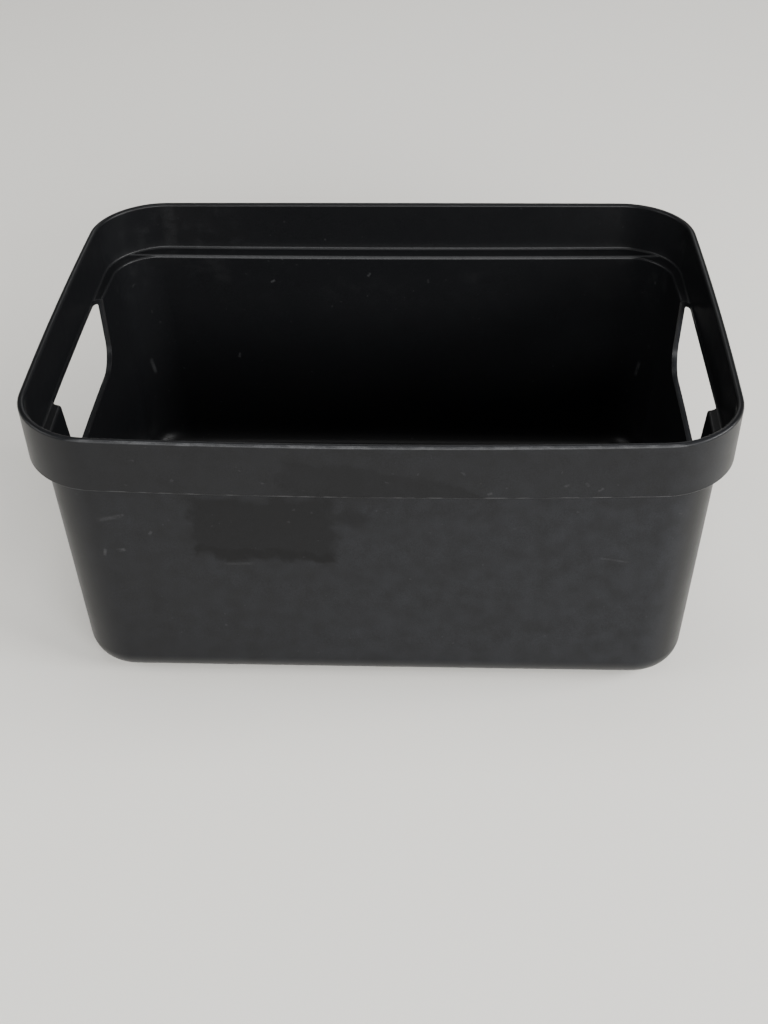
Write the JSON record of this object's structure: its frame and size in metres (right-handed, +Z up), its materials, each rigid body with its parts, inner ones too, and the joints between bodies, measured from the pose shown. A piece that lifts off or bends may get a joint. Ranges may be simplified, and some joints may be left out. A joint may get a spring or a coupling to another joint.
{
  "type": "storage basket",
  "caption": "Open rectangular plastic storage basket with rounded corners, a deep rim collar, an inner step ledge and a hand slot in each short side.",
  "frame": {"origin": "middle of the foot band's plane, on the surface that the basket stands on", "axes": "+X along the length, towards one hand slot; +Y across the width; +Z up, out of the open top"},
  "size_m": [0.285, 0.2012, 0.1352],
  "materials": {
    "charcoal_plastic": "fine matte moulded grain, lightly scuffed"
  },
  "bodies": {
    "root": {"basket_shell": "charcoal_plastic"}
  },
  "joints": []
}
